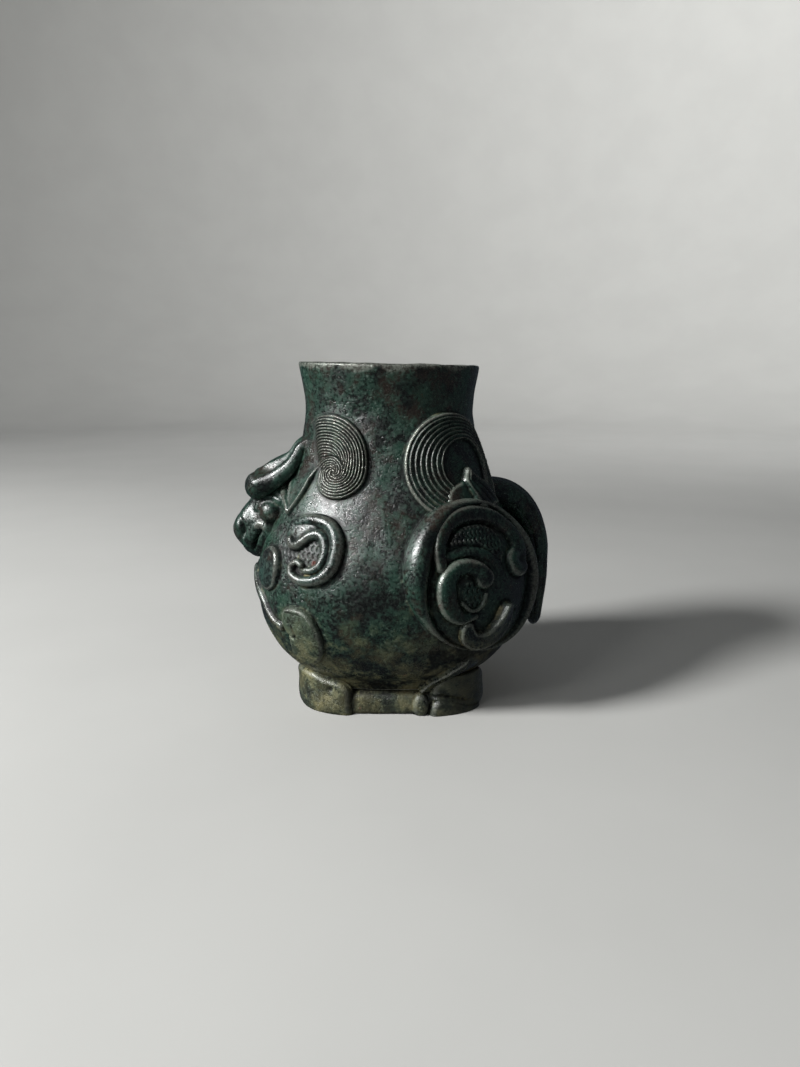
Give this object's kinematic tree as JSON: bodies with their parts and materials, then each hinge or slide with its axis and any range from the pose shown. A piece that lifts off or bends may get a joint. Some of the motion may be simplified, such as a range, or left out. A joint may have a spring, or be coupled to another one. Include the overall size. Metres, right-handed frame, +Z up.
{
  "type": "vase",
  "caption": "Pear-shaped cast bronze vase in the form of a crouching horned beast, with scrolled reliefs, a strap tail and a low foot; holds flowers or stands as an ornament.",
  "frame": {"origin": "middle of the footprint, on the surface that the vase stands on", "axes": "+Z up; the beast looks towards -X, its tail is at +X and its left side is at -Y"},
  "size_m": [0.1241, 0.0984, 0.13],
  "materials": {
    "dark_bronze": "near-black green patina, waxed satin",
    "green_bronze": "dark green patina with worn high points, satin",
    "worn_bronze": "brown-grey worn edges over dark patina, satin",
    "olive_bronze": "olive and tan patina, dull satin"
  },
  "bodies": {
    "root": {"vessel_body": "dark_bronze", "foot_ring": "olive_bronze", "base_plate": "olive_bronze", "beast_head": "green_bronze", "tail": "dark_bronze", "left_horn": "green_bronze", "right_horn": "green_bronze", "left_ear": "green_bronze", "right_ear": "green_bronze", "left_mane_curl": "dark_bronze", "right_mane_curl": "dark_bronze", "left_shoulder_scroll": "worn_bronze", "right_shoulder_scroll": "worn_bronze", "left_chest_lobe": "worn_bronze", "right_chest_lobe": "worn_bronze", "left_breast_strap": "worn_bronze", "right_breast_strap": "worn_bronze", "left_knee_lobe": "olive_bronze", "right_knee_lobe": "olive_bronze", "left_front_paw": "olive_bronze", "right_front_paw": "olive_bronze", "left_haunch": "green_bronze", "right_haunch": "green_bronze", "left_upper_scroll": "green_bronze", "right_upper_scroll": "green_bronze", "left_lower_scroll": "green_bronze", "right_lower_scroll": "green_bronze", "left_crescent": "worn_bronze", "right_crescent": "worn_bronze", "left_hind_shank": "dark_bronze", "right_hind_shank": "dark_bronze", "left_hind_paw": "olive_bronze", "right_hind_paw": "olive_bronze", "left_rump_curl": "dark_bronze", "right_rump_curl": "dark_bronze", "left_rump_tuft": "green_bronze", "right_rump_tuft": "green_bronze"}
  },
  "joints": []
}
